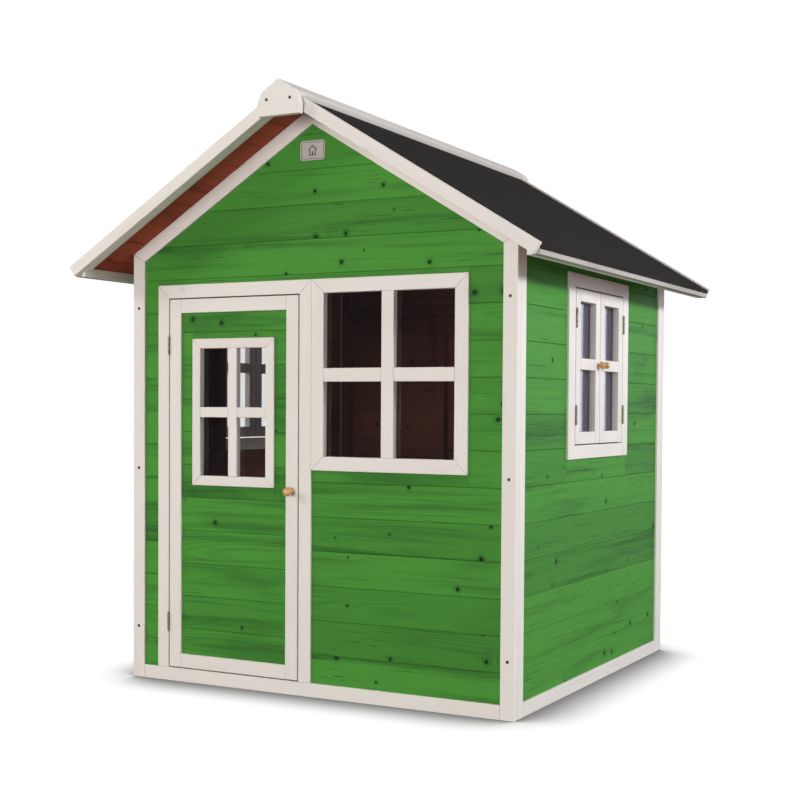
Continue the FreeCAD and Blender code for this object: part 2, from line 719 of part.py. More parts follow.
def hinge():
    """A butt hinge about the Z axis, centred on z = 0: fixed leaf, moving leaf and pin.

    The fixed leaf is towards -X and the moving one towards +X; the wall lies towards +Y.
    """
    bore = HINGE_PIN_RADIUS + HINGE_PIN_CLEARANCE
    half = HINGE_HEIGHT / 2
    knuckle = (HINGE_HEIGHT - 2 * KNUCKLE_GAP) / 3
    inner = GAP / 2 - HINGE_LEAF_THICKNESS
    leaf_start = BARREL_OFFSET

    def leaf(x0, x1, spans):
        solid = box(x0, x1, leaf_start, leaf_start + HINGE_LEAF_DEPTH, -half, half)
        for low, high in spans:
            barrel = Part.makeCylinder(HINGE_BARREL_RADIUS, high - low, V(0, 0, low))
            solid = solid.fuse(barrel).fuse(box(x0, x1, 0, leaf_start, low, high))
        hole = Part.makeCylinder(bore, HINGE_HEIGHT + 2 * OVERCUT, V(0, 0, -half - OVERCUT))
        return solid.cut(hole).removeSplitter()

    ends = [(-half, -half + knuckle), (half - knuckle, half)]
    fixed = leaf(-GAP / 2, -inner, ends)
    moving = leaf(inner, GAP / 2, [(-knuckle / 2, knuckle / 2)])
    pin = Part.makeCylinder(HINGE_PIN_RADIUS, HINGE_HEIGHT, V(0, 0, -half))
    for z in (-half - PIN_HEAD_HEIGHT, half):
        pin = pin.fuse(Part.makeCylinder(PIN_HEAD_RADIUS, PIN_HEAD_HEIGHT, V(0, 0, z)))
    return fixed, moving, pin.removeSplitter()


def moved(shape, position, turn, flip):
    """A copy of a hinge part: flipped across X if asked, turned about Z, then moved."""
    copy = shape.mirror(V(0, 0, 0), V(1, 0, 0)) if flip else shape.copy()
    copy.rotate(V(0, 0, 0), V(0, 0, 1), turn)
    copy.translate(position)
    return copy


def hinge_set(heights, x, y, turn, flip):
    """Fixed leaves, moving leaves and pins of the hinges on one axis."""
    parts = hinge()
    return [[moved(part, V(x, y, z), turn, flip) for z in heights] for part in parts]


def door_hinges():
    heights = (DOOR_FOOT + DOOR_HINGE_INSET, DOOR_TOP - DOOR_HINGE_INSET)
    return hinge_set(heights, OPENING_LEFT + GAP / 2, FRONT_Y - BARREL_OFFSET, 0, False)


def sash_hinges(back):
    """Hinges of one sash of the right window, at its front or back jamb."""
    heights = (SASH_FOOT + SASH_HINGE_INSET, SASH_FOOT + SASH_HEIGHT - SASH_HINGE_INSET)
    y = CASEMENT_BACK_Y - GAP / 2 if back else CASEMENT_FRONT_Y + GAP / 2
    return hinge_set(heights, HALF_WIDTH + BARREL_OFFSET, y, 90, back)


def door_stiles():
    left = box(DOOR_LEFT, DOOR_LEFT + STILE_WIDTH, FRONT_Y, DOOR_BACK_Y, DOOR_FOOT, DOOR_TOP)
    right = box(DOOR_RIGHT - STILE_WIDTH, DOOR_RIGHT, FRONT_Y, DOOR_BACK_Y, DOOR_FOOT, DOOR_TOP)
    return [left, right]


def door_rails():
    x0 = DOOR_LEFT + STILE_WIDTH
    x1 = DOOR_RIGHT - STILE_WIDTH
    foot = box(x0, x1, FRONT_Y, DOOR_BACK_Y, DOOR_FOOT, DOOR_FOOT + STILE_WIDTH)
    head = box(x0, x1, FRONT_Y, DOOR_BACK_Y, DOOR_TOP - STILE_WIDTH, DOOR_TOP)
    return [foot, head]


def door_window_outline():
    x0 = DOOR_LEFT + (DOOR_WIDTH - DOOR_WINDOW_WIDTH) / 2
    z1 = DOOR_TOP - DOOR_WINDOW_TOP
    return x0, x0 + DOOR_WINDOW_WIDTH, z1 - DOOR_WINDOW_HEIGHT, z1


def door_boards():
    x0 = DOOR_LEFT + STILE_WIDTH
    x1 = DOOR_RIGHT - STILE_WIDTH
    foot = DOOR_FOOT + STILE_WIDTH
    head = DOOR_TOP - STILE_WIDTH
    face = FRONT_Y + DOOR_PANEL_SET_BACK
    boards = []
    for low, high, low_joint, high_joint in courses(foot, head, DOOR_FIRST_JOINT):
        section = board_outline(face, DOOR_BACK_Y, low, high, low_joint, high_joint)
        course = prism_x(section, x0, x1)
        for a, b, s, e in split_round(x0, x1, low, high, [door_window_outline()]):
            boards += course.common(box(a, b, face, DOOR_BACK_Y, s, e)).Solids
    return boards


def door_window_frame():
    def make(outline):
        return prism_y(outline, FRONT_Y, DOOR_BACK_Y)

    return mitred_frame(*door_window_outline(), DOOR_WINDOW_FRAME, DOOR_WINDOW_FRAME, make)


def door_glass_opening():
    x0, x1, z0, z1 = door_window_outline()
    rim = DOOR_WINDOW_FRAME
    return x0 + rim, x1 - rim, z0 + rim, z1 - rim


def door_window_bars():
    return bars(*door_glass_opening(), DOOR_WINDOW_BAR, FRONT_Y, DOOR_BACK_Y)


def pane_y(x0, x1, z0, z1, y0):
    """A pane that laps the back of its frame all round."""
    return box(x0 - PANE_LAP, x1 + PANE_LAP, y0, y0 + PANE_THICKNESS, z0 - PANE_LAP, z1 + PANE_LAP)


def door_ledges():
    """Battens across the back of the door, above and below its window."""
    x0 = DOOR_LEFT + STOP_LAP + LEDGE_CLEARANCE
    x1 = DOOR_RIGHT - STOP_LAP - LEDGE_CLEARANCE
    y1 = DOOR_BACK_Y + LEDGE_THICKNESS
    _, _, z0, z1 = door_window_outline()
    feet = (DOOR_FOOT + DOOR_HINGE_INSET - LEDGE_HEIGHT / 2, z0 - LEDGE_HEIGHT, z1)
    return [box(x0, x1, DOOR_BACK_Y, y1, foot, foot + LEDGE_HEIGHT) for foot in feet]


def sash_span(back):
    """Lowest and highest y of one sash of the right window."""
    if back:
        return CASEMENT_BACK_Y - GAP - SASH_WIDTH, CASEMENT_BACK_Y - GAP
    return CASEMENT_FRONT_Y + GAP, CASEMENT_FRONT_Y + GAP + SASH_WIDTH


def sash_frame(back):
    y0, y1 = sash_span(back)
    x0 = HALF_WIDTH - LEAF_THICKNESS
    top = SASH_FOOT + SASH_HEIGHT
    middle = SASH_FOOT + SASH_MIDDLE_HEIGHT
    inner0 = y0 + SASH_STILE
    inner1 = y1 - SASH_STILE
    half = SASH_MIDDLE_RAIL / 2
    return [
        box(x0, HALF_WIDTH, y0, inner0, SASH_FOOT, top),
        box(x0, HALF_WIDTH, inner1, y1, SASH_FOOT, top),
        box(x0, HALF_WIDTH, inner0, inner1, SASH_FOOT, SASH_FOOT + SASH_STILE),
        box(x0, HALF_WIDTH, inner0, inner1, middle - half, middle + half),
        box(x0, HALF_WIDTH, inner0, inner1, top - SASH_STILE, top),
    ]


def sash_pane(back):
    y0, y1 = sash_span(back)
    x1 = HALF_WIDTH - LEAF_THICKNESS
    rim = SASH_STILE - PANE_LAP
    top = SASH_FOOT + SASH_HEIGHT
    return [box(x1 - PANE_THICKNESS, x1, y0 + rim, y1 - rim, SASH_FOOT + rim, top - rim)]


def sash_knob(back):
    y0, y1 = sash_span(back)
    y = y0 + SASH_STILE / 2 if back else y1 - SASH_STILE / 2
    position = V(HALF_WIDTH, y, SASH_FOOT + SASH_MIDDLE_HEIGHT)
    return [place_knob(knob(SASH_KNOB_RADIUS, SASH_KNOB_REACH), position, V(1, 0, 0))]


def door_catch():
    """The catch under the head stop, and its keeper on the back of the door."""
    x1 = DOOR_RIGHT - STOP_LAP - CATCH_INSET
    x0 = x1 - CATCH_LENGTH
    z1 = DOOR_TOP - STOP_LAP
    z0 = z1 - CATCH_HEIGHT
    face = DOOR_BACK_Y + KEEPER_THICKNESS
    block = box(x0, x1, face + KEEPER_GAP, face + KEEPER_GAP + CATCH_DEPTH, z0, z1)
    keeper = box(x0, x1, DOOR_BACK_Y, face, z0, z1)
    return block, keeper


def sash_catch(back):
    """The catch of one sash of the right window, near its meeting stile, and its keeper."""
    y0, y1 = sash_span(back)
    y = y0 + CATCH_INSET if back else y1 - CATCH_INSET - CATCH_LENGTH
    z1 = SASH_FOOT + SASH_HEIGHT - STOP_LAP
    z0 = z1 - CATCH_HEIGHT
    inner = HALF_WIDTH - LEAF_THICKNESS
    face = inner - KEEPER_THICKNESS
    block = box(face - KEEPER_GAP - CATCH_DEPTH, face - KEEPER_GAP, y, y + CATCH_LENGTH, z0, z1)
    keeper = box(face, inner, y, y + CATCH_LENGTH, z0, z1)
    return block, keeper


def save_walls():
    door_hole = (FRAME_LEFT, FRAME_SPLIT, RAIL_HEIGHT, FRAME_TOP)
    window_hole = (FRAME_SPLIT, FRAME_RIGHT, WINDOW_FRAME_FOOT, FRAME_TOP)
    save("front_boards", gable_boards([door_hole, window_hole]))
    save("back_boards", mirror_depth(gable_boards([])))
    right = side_boards()
    save("right_boards", right)
    save("left_boards", mirror_x(right))
    trims = corner_trims()
    save("front_corner_trims", trims)
    save("back_corner_trims", mirror_depth(trims))
    save("side_corner_trims", return_trims())
    gables = gable_trims()
    save("gable_trims", gables + mirror_depth(gables))
    save("bottom_rails", bottom_rails())
    save("corner_posts", corner_posts())
    save("wall_plates", wall_plates())
    save("wall_studs", wall_studs())
    save("floor_joists", floor_joists())
    save("floor_boards", floor_boards())


def save_windows():
    save("door_frame", door_frame())
    save("front_window_frame", front_window_frame())
    glass = (WINDOW_LEFT, WINDOW_RIGHT, WINDOW_FOOT, OPENING_TOP)
    save("front_window_bars", bars(*glass, WINDOW_BAR, FRONT_Y, INNER_FRONT_Y))
    save("front_window_pane", [pane_y(*glass, INNER_FRONT_Y)])
    save("side_window_frames", both_sides(side_window_frame()))
    save("window_linings", both_sides(window_linings()))


def save_roof():
    boards = roof_boards()
    save("roof_boards_right", boards)
    save("roof_boards_left", mirror_x(boards))
    save("roof_felt", roof_felt())
    save("front_barge_boards", barge_boards(ROOF_FRONT_Y))
    save("back_barge_boards", barge_boards(ROOF_BACK_Y - BARGE_THICKNESS))
    save("eave_fascias", eave_fascias())
    save("roof_edge_battens", roof_edge_battens())
    save("rafters", rafters())
    save("ridge_caps", ridge_caps())
    save("ridge_end_plates", ridge_plates())
    save("name_plate", name_plate())
    save("screws", screws())


def save_door():
    save("door_stiles", door_stiles())
    save("door_rails", door_rails())
    save("door_boards", door_boards())
    save("door_window_frame", door_window_frame())
    save("door_window_bars", door_window_bars())
    save("door_pane", [pane_y(*door_glass_opening(), DOOR_BACK_Y)])
    save("door_ledges", door_ledges())
    position = V(DOOR_RIGHT - STILE_WIDTH / 2, FRONT_Y, DOOR_FOOT + DOOR_KNOB_HEIGHT)
    save("door_knob", [place_knob(knob(DOOR_KNOB_RADIUS, DOOR_KNOB_REACH), position, V(0, -1, 0))])


def save_casements_and_hinges():
    fixed, moving, pins = door_hinges()
    catch, keeper = door_catch()
    catches = [catch]
    save("door_fittings", moving + [keeper])
    for back, place in ((False, "front"), (True, "rear")):
        pieces = {
            "_sash": sash_frame(back),
            "_pane": sash_pane(back),
            "_knob": sash_knob(back),
        }
        sash_fixed, sash_moving, sash_pins = sash_hinges(back)
        catch, keeper = sash_catch(back)
        catches += both_sides([catch])
        pieces["_fittings"] = sash_moving + [keeper]
        fixed += both_sides(sash_fixed)
        pins += both_sides(sash_pins)
        for suffix, shapes in pieces.items():
            save("right_" + place + suffix, shapes)
            save("left_" + place + suffix, mirror_x(shapes))
    save("hinge_fixed_leaves", fixed)
    save("hinge_pins", pins)
    save("magnetic_catches", catches)


os.makedirs("parts", exist_ok=True)
save_walls()
save_windows()
save_roof()
save_door()
save_casements_and_hinges()
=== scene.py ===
import json
import math
import random

import bmesh
import bpy
from mathutils import Matrix, Vector

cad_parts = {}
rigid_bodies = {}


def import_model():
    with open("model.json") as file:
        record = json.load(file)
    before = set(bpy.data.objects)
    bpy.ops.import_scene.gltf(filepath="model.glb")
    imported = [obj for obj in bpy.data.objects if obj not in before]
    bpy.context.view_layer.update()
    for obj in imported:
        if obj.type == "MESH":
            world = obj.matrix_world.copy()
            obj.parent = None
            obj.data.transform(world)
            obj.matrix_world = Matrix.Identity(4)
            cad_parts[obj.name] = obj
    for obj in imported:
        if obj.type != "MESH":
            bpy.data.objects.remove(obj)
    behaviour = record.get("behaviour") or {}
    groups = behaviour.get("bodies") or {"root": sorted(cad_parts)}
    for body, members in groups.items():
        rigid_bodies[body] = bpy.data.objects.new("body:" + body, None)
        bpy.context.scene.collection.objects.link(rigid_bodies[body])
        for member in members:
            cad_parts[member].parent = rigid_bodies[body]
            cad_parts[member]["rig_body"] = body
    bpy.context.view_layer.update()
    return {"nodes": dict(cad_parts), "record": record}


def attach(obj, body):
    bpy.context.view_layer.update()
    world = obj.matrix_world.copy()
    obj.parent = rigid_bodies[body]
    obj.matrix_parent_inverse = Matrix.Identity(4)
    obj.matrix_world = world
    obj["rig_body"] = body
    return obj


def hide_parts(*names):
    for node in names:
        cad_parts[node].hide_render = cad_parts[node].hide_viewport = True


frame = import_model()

# ---- camera ----
CAMERA_AT = Vector((1.866, -3.588, 0.747))
CAMERA_TURN = 0.4886          # radians to the left of +Y
CAMERA_TILT = -0.0295
CAMERA_ROLL = 0.0063
CAMERA_LENS = 62.54
CAMERA_RISE = 0.0595

# ---- timber (metres) ----
ARRIS = 0.0016                # rounding of painted trims
BOARD_ARRIS = 0.0006
CORNER_STEPS = 1e5            # per metre: corners that round to the same step are one corner
FLAT = 0.02                   # radians between two faces, up to which they are one face
SHARP = 0.4                   # radians between two faces, from which their edge is rounded
ALIGNED = 0.8                 # cosine of an axis with the grain, from which it is the long one
FACING_IN = 0.7               # cosine of a face with the way inside, from which it is an inside face
LENGTH_SHIFT = 0.4            # how far the grain is moved along a piece, either way
WIDTH_SHIFT = 0.02
KNOT_SCALE = 7.6              # knots per metre, before some are left out
KNOT_SIZE = 0.005
STAIN_KNOTS = 0.6             # share of the knots that show
PAINT_KNOTS = 0.3
RING_SPACING = 0.0038
GRAIN_RELIEF = 0.0002

# ---- name plate (metres) ----
MARK_HEIGHT = 0.0005
BORDER_INSET = 0.0035
BORDER_WIDTH = 0.0012
BORDER_RADIUS = 0.005
BORDER_STEP = 15              # degrees between the points of its corners
WALL_OUT = 0.0095             # half width of the sign's house
WALL_IN = 0.007
WALL_FOOT = -0.013
SILL_TOP = -0.0108
EAVE_OUT = 0.013
DOOR_HALF = 0.002
DOOR_TOP = -0.003

# ---- floor and light ----
FLOOR_HALF = 30.0
BOUNCE_DEPTH = 0.001          # second floor under the first
SHADOW_REACH = 0.23           # how far the shadow on the floor reaches from the walls
SHADOW_DEPTH = 0.16           # brightness of the darkest shadow
FLOOR_LEVEL = 1.06            # brightness of the open floor
BACKDROP_LEVEL = 1.05
ROOM_LEVEL = 0.24             # light from the room away from the lamps
CEILING_SHARE = 0.8           # of the room's light from above
SCREEN_LEVEL = 2.4            # added light from behind the object, on its right
SCREEN_TOWARD = (0.47, 0.88, 0.0)
DARK_TOWARD = (-0.47, -0.88, 0.0)
DARK_SHARE = 0.28             # of the room's light on the dark side
PANE_REFLECTION = 0.036       # of light that meets a pane squarely
PANE_HAZE = 0.002             # of light that its scratches scatter
# share of the casement panes' light taken by the bluish diffuse layer: a painted reflection of the bright
# studio
CASEMENT_PAINTED_REFLECTION = 0.037
AIM = (0, 0, 0.8)
LAMPS = (
    # name, place, aim, size, watts, colour
    ("front", (0.2, -7.0, 1.0), (0, 0, 0.7), (2.8, 2.0), 265, (1.0, 0.98, 0.95)),
    ("side", (5.4, -0.6, 3.0), AIM, (1.0, 0.8), 250, (0.99, 1.0, 1.0)),
    ("left", (-4.4, -3.6, 2.9), AIM, (1.8, 1.4), 125, (1.0, 0.97, 0.93)),
    ("room", (0.15, 0.25, 1.05), (-0.56, 0.15, 0.9), (0.3, 0.3), 0.4, (1.0, 0.95, 0.88)),
    ("rear", (-3.6, 4.6, 2.6), AIM, (2.4, 1.8), 170, (1.0, 1.0, 1.0)),
)


# ---- meshes ----

def corner_key(point):
    return tuple(round(c * CORNER_STEPS) for c in point)


def solids_of(obj):
    """The closed solids of a CAD node: each a list of points and of faces by point index."""
    mesh = obj.data
    solids = []
    unmatched = set()
    index = {}
    points = []
    faces = []
    for polygon in mesh.polygons:
        corners = [mesh.vertices[v].co for v in polygon.vertices]
        keys = [corner_key(c) for c in corners]
        if len(set(keys)) < len(keys):
            continue
        face = []
        for key, corner in zip(keys, corners):
            if key not in index:
                index[key] = len(points)
                points.append(corner.copy())
            face.append(index[key])
        faces.append(face)
        for a, b in zip(keys, keys[1:] + keys[:1]):
            if (b, a) in unmatched:
                unmatched.remove((b, a))
            else:
                unmatched.add((a, b))
        if not unmatched:
            solids.append((points, faces))
            index, points, faces = {}, [], []
    if faces:
        solids.append((points, faces))
    return solids


def principal(points, grain):
    """Axes of a piece: along the grain, across its wider side, and through its thickness."""
    n = len(points)
    mid = sum(points, Vector()) / n
    xx = sum((p.x - mid.x) ** 2 for p in points)
    zz = sum((p.z - mid.z) ** 2 for p in points)
    xz = sum((p.x - mid.x) * (p.z - mid.z) for p in points)
    turn = 0.5 * math.atan2(2 * xz, xx - zz)
    first = Vector((math.cos(turn), 0, math.sin(turn)))
    second = Vector((-math.sin(turn), 0, math.cos(turn)))
    axes = [first, second, Vector((0, 1, 0))]

    def spread(axis):
        along = [(p - mid).dot(axis) for p in points]
        return max(along) - min(along)

    axes.sort(key=spread, reverse=True)
    if grain:
        axes.sort(key=lambda axis: abs(axis.dot(grain)) < ALIGNED)
    return mid, axes


def timber(node, material, grain, arris, inner):
    """Each solid of a CAD node with rounded arrises, its own grain and its own tone.

    Faces that look along inner are marked as the inside of the house.
    """
    draw = random.Random(node)
    mesh = bpy.data.meshes.new(node + "_timber")
    whole = bmesh.new()
    layers = {
        "grain": whole.verts.layers.float_vector.new("grain"),
        "tone": whole.verts.layers.float.new("tone"),
        "inside": whole.verts.layers.float.new("inside"),
    }
    for points, faces in solids_of(frame["nodes"][node]):
        mid, axes = principal(points, grain)
        tone = draw.random()
        along = draw.uniform(-LENGTH_SHIFT, LENGTH_SHIFT)
        across = draw.uniform(-WIDTH_SHIFT, WIDTH_SHIFT)
        shift = Vector((along, across, 0))
        piece = bmesh.new()
        verts = [piece.verts.new(p) for p in points]
        for face in faces:
            piece.faces.new([verts[i] for i in face])
        bmesh.ops.dissolve_limit(piece, angle_limit=FLAT, verts=piece.verts[:], edges=piece.edges[:])
        sharp = [e for e in piece.edges if len(e.link_faces) == 2 and e.calc_face_angle() > SHARP]
        bmesh.ops.bevel(
            piece, geom=sharp, offset=arris, segments=2, profile=0.5, affect="EDGES", clamp_overlap=True
        )
        inside = [face for face in piece.faces if inner and face.normal.dot(inner) > FACING_IN]
        within = {vert for face in inside for vert in face.verts}
        table = {}
        for vert in piece.verts:
            made = whole.verts.new(vert.co)
            local = vert.co - mid
            made[layers["grain"]] = Vector([local.dot(a) for a in axes]) + shift
            made[layers["tone"]] = tone
            made[layers["inside"]] = 1.0 if vert in within else 0.0
            table[vert] = made
        for face in piece.faces:
            whole.faces.new([table[v] for v in face.verts]).smooth = True
        piece.free()
    whole.to_mesh(mesh)
    whole.free()
    made = bpy.data.objects.new(node + "_timber", mesh)
    bpy.context.scene.collection.objects.link(made)
    made.data.materials.append(material)
    weighted = made.modifiers.new("normals", "WEIGHTED_NORMAL")
    weighted.weight = 100
    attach(made, frame["nodes"][node]["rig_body"])
    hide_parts(node)
    return made


# ---- shader building ----

def add(tree, kind, values=None, **settings):
    node = tree.nodes.new("ShaderNode" + kind)
    for name, value in settings.items():
        setattr(node, name, value)
    for name, value in (values or {}).items():
        socket = node.inputs[name]
        if isinstance(value, bpy.types.NodeSocket):
            tree.links.new(value, socket)
        else:
            socket.default_value = value
    return node


def calc(tree, operation, *values, clamp=False):
    node = add(tree, "Math", dict(enumerate(values)), operation=operation, use_clamp=clamp)
    return node.outputs[0]


def mix(tree, factor, a, b):
    node = add(tree, "Mix", {0: factor, 6: a, 7: b}, data_type="RGBA")
    return node.outputs[2]


def rise(tree, value, low, high, to_low=0.0, to_high=1.0):
    """A smooth step from to_low to to_high as value goes from low to high."""
    node = add(
        tree, "MapRange", {0: value, 1: low, 2: high, 3: to_low, 4: to_high}, interpolation_type="SMOOTHSTEP"
    )
    return node.outputs[0]


def noise(tree, vector, scale, detail=2.0, rough=0.5):
    node = add(tree, "TexNoise", {"Vector": vector, "Scale": scale, "Detail": detail, "Roughness": rough})
    return node.outputs["Fac"]


def stretch(tree, vector, scale):
    return add(tree, "Mapping", {"Vector": vector, "Scale": scale}).outputs[0]


def new_material(name):
    material = bpy.data.materials.new(name)
    material.use_nodes = True
    tree = material.node_tree
    tree.nodes.clear()
    return material, tree


def finish_material(tree, shader):
    add(tree, "OutputMaterial", {"Surface": shader})


def grained(tree, place, scale, detail=2.0, rough=0.5):
    """Noise drawn out along the grain; scale is features per metre along, across and through it."""
    return noise(tree, stretch(tree, place, scale), 1.0, detail, rough)


def knot_fields(tree, place, knots):
    """Whether the nearest knot shows, and the distance to it in knot sizes."""
    flat = stretch(tree, place, (1.0, 1.0, 0.0))
    cells = add(
        tree, "TexVoronoi", {"Vector": flat, "Scale": KNOT_SCALE, "Randomness": 0.95},
        voronoi_dimensions="2D", feature="F1",
    )
    apart = calc(tree, "DIVIDE", cells.outputs["Distance"], KNOT_SCALE)
    wobble = calc(tree, "MULTIPLY", calc(tree, "SUBTRACT", noise(tree, place, 160.0), 0.5), 0.005)
    apart = calc(tree, "ADD", apart, wobble)
    pick = add(tree, "SeparateColor", {0: cells.outputs["Color"]})
    there = calc(tree, "LESS_THAN", pick.outputs[0], knots)
    size = calc(tree, "MULTIPLY_ADD", pick.outputs[1], KNOT_SIZE, KNOT_SIZE * 0.45)
    return there, calc(tree, "DIVIDE", apart, size)


def ring_field(tree, grain, place, tone, bend):
    """Growth rings round a heart beside the piece, pushed aside by bend at the knots."""
    axes = add(tree, "SeparateXYZ", {0: grain})
    drift = calc(tree, "MULTIPLY_ADD", grained(tree, place, (1.1, 3.0, 3.0)), 0.05, -0.025)
    heart = calc(tree, "MULTIPLY_ADD", tone, 0.09, 0.012)
    side = calc(tree, "ADD", axes.outputs[1], calc(tree, "MULTIPLY_ADD", tone, 0.06, -0.03))
    deep = calc(tree, "ADD", axes.outputs[2], heart)
    squares = calc(tree, "ADD", calc(tree, "MULTIPLY", side, side), calc(tree, "MULTIPLY", deep, deep))
    radius = calc(tree, "SQRT", squares)
    radius = calc(tree, "ADD", calc(tree, "ADD", radius, drift), bend)
    ring = calc(tree, "FRACT", calc(tree, "DIVIDE", radius, RING_SPACING))
    ring = rise(tree, calc(tree, "ABSOLUTE", calc(tree, "MULTIPLY_ADD", ring, 2.0, -1.0)), 0.3, 1.0)
    faded = rise(tree, grained(tree, place, (2.2, 14.0, 14.0)), 0.35, 0.75)
    return calc(tree, "MULTIPLY", ring, faded)


def wood_pattern(tree, knots):
    """Grain fields of a piece: position, tone, rings, streaks, fibres, cracks and knots."""
    grain = add(tree, "Attribute", attribute_name="grain").outputs["Vector"]
    tone = add(tree, "Attribute", attribute_name="tone").outputs["Fac"]
    offset = add(tree, "CombineXYZ", {
        0: calc(tree, "MULTIPLY", tone, 91.7),
        1: calc(tree, "MULTIPLY", tone, 57.3),
        2: calc(tree, "MULTIPLY", tone, 33.1),
    }).outputs[0]
    place = add(tree, "VectorMath", {0: grain, 1: offset}, operation="ADD").outputs[0]
    there, reach = knot_fields(tree, place, knots)
    core = calc(tree, "MULTIPLY", there, rise(tree, reach, 0.75, 1.1, 1.0, 0.0))
    halo = calc(tree, "MULTIPLY", there, rise(tree, reach, 0.9, 3.0, 1.0, 0.0))
    bend = calc(tree, "MULTIPLY", there, rise(tree, reach, 0.0, 6.0, 0.008, 0.0))
    crack = rise(tree, grained(tree, place, (11.0, 260.0, 260.0)), 0.66, 0.71)
    cracked = rise(tree, grained(tree, place, (2.5, 11.0, 11.0)), 0.5, 0.62)
    return {
        "place": place,
        "tone": tone,
        "core": core,
        "halo": halo,
        "ring": ring_field(tree, grain, place, tone, bend),
        "streak": grained(tree, place, (1.3, 34.0, 34.0), 3.0, 0.55),
        "broad": grained(tree, place, (1.5, 7.0, 7.0), 3.0, 0.6),
        "fibre": grained(tree, place, (14.0, 620.0, 620.0), 2.0, 0.6),
        "line": rise(tree, grained(tree, place, (3.0, 210.0, 210.0)), 0.62, 0.72),
        "crack": calc(tree, "MULTIPLY", crack, cracked),
    }


def bump_from(tree, height, distance, strength=1.0):
    return add(tree, "Bump", {"Height": height, "Distance": distance, "Strength": strength}).outputs[0]


def stain(tree, wood, light, dark, knot):
    """Colour of stained timber: light on clear wood, dark on rings and streaks, knot on knots and cracks."""
    depth = calc(tree, "MULTIPLY", wood["ring"], 0.3)
    depth = calc(tree, "ADD", depth, rise(tree, wood["streak"], 0.5, 0.8, 0.0, 0.7))
    depth = calc(tree, "ADD", depth, rise(tree, wood["broad"], 0.5, 0.75, 0.0, 0.55))
    depth = calc(tree, "ADD", depth, rise(tree, wood["tone"], 0.6, 1.0, 0.0, 0.35))
    depth = calc(tree, "ADD", depth, calc(tree, "MULTIPLY", wood["halo"], 0.35))
    depth = calc(tree, "ADD", depth, calc(tree, "MULTIPLY", wood["line"], 0.4))
    depth = calc(tree, "ADD", depth, calc(tree, "MULTIPLY_ADD", wood["fibre"], 0.24, -0.12), clamp=True)
    colour = mix(tree, depth, light, dark)
    core = calc(tree, "MULTIPLY", wood["core"], 0.92)
    crack = calc(tree, "MULTIPLY", wood["crack"], 0.7)
    return mix(tree, calc(tree, "MAXIMUM", core, crack), colour, knot)


def stained(name, coats):
    """Timber under a thin stain that lets its rings, streaks and knots show.

    With two coats, the second is on the inside of the house.
    """
    material, tree = new_material(name)
    wood = wood_pattern(tree, STAIN_KNOTS)
    colours = [stain(tree, wood, *coat) for coat in coats]
    colour = colours[0]
    if len(colours) > 1:
        inside = add(tree, "Attribute", attribute_name="inside").outputs["Fac"]
        colour = mix(tree, inside, colours[0], colours[1])
    height = calc(tree, "MULTIPLY_ADD", wood["ring"], -0.4, wood["fibre"])
    height = calc(tree, "SUBTRACT", height, wood["core"])
    shader = add(tree, "BsdfPrincipled", {
        "Base Color": colour,
        "Roughness": rise(tree, wood["fibre"], 0.2, 0.8, 0.53, 0.7),
        "Normal": bump_from(tree, height, GRAIN_RELIEF),
    })
    shader.inputs["Specular IOR Level"].default_value = 0.08
    finish_material(tree, shader.outputs[0])
    return material


def painted(name, paint, worn):
    """Warm white paint over softwood: faint grain, faint knots and a slightly uneven film."""
    material, tree = new_material(name)
    wood = wood_pattern(tree, PAINT_KNOTS)
    cloud = grained(tree, wood["place"], (3.0, 8.0, 8.0), 3.0)
    shade = calc(tree, "MULTIPLY", wood["ring"], 0.26)
    shade = calc(tree, "ADD", shade, rise(tree, wood["streak"], 0.5, 0.85, 0.0, 0.4))
    shade = calc(tree, "ADD", shade, calc(tree, "MULTIPLY", wood["line"], 0.35))
    shade = calc(tree, "ADD", shade, rise(tree, cloud, 0.35, 0.75, 0.0, 0.25))
    shade = calc(tree, "ADD", shade, calc(tree, "MULTIPLY", wood["halo"], 0.3))
    shade = calc(tree, "ADD", shade, calc(tree, "MULTIPLY", wood["core"], 0.5))
    shade = calc(tree, "ADD", shade, calc(tree, "MULTIPLY", wood["tone"], 0.15), clamp=True)
    colour = mix(tree, shade, paint, worn)
    height = calc(tree, "MULTIPLY_ADD", wood["fibre"], 0.6, calc(tree, "MULTIPLY", cloud, 0.8))
    height = calc(tree, "SUBTRACT", height, calc(tree, "MULTIPLY", wood["core"], 0.6))
    shader = add(tree, "BsdfPrincipled", {
        "Base Color": colour,
        "Roughness": rise(tree, cloud, 0.3, 0.7, 0.44, 0.58),
        "Normal": bump_from(tree, height, GRAIN_RELIEF),
    })
    shader.inputs["Specular IOR Level"].default_value = 0.25
    finish_material(tree, shader.outputs[0])
    return material


def roofing_felt():
    """Bitumen felt with dark mineral grit, slightly worn and uneven."""
    material, tree = new_material("roofing_felt")
    place = add(tree, "TexCoord").outputs["Object"]
    grit = add(tree, "TexVoronoi", {"Vector": place, "Scale": 330.0, "Randomness": 1.0})
    speck = add(tree, "SeparateColor", {0: grit.outputs["Color"]}).outputs[0]
    clump = noise(tree, place, 130.0, 2.0, 0.6)
    patch = noise(tree, place, 7.0, 4.0, 0.6)
    light = calc(tree, "MULTIPLY", rise(tree, speck, 0.7, 1.0), rise(tree, clump, 0.35, 0.7, 0.3, 1.0))
    colour = mix(tree, light, (0.0085, 0.0075, 0.007, 1), (0.062, 0.055, 0.05, 1))
    colour = mix(tree, rise(tree, patch, 0.4, 0.75, 0.0, 0.3), colour, (0.022, 0.020, 0.019, 1))
    height = calc(tree, "ADD", grit.outputs["Distance"], calc(tree, "MULTIPLY", speck, 0.4))
    shader = add(tree, "BsdfPrincipled", {
        "Base Color": colour,
        "Roughness": rise(tree, speck, 0.0, 1.0, 0.8, 0.95),
        "Normal": bump_from(tree, height, 0.0008),
    })
    shader.inputs["Specular IOR Level"].default_value = 0.12
    finish_material(tree, shader.outputs[0])
    return material


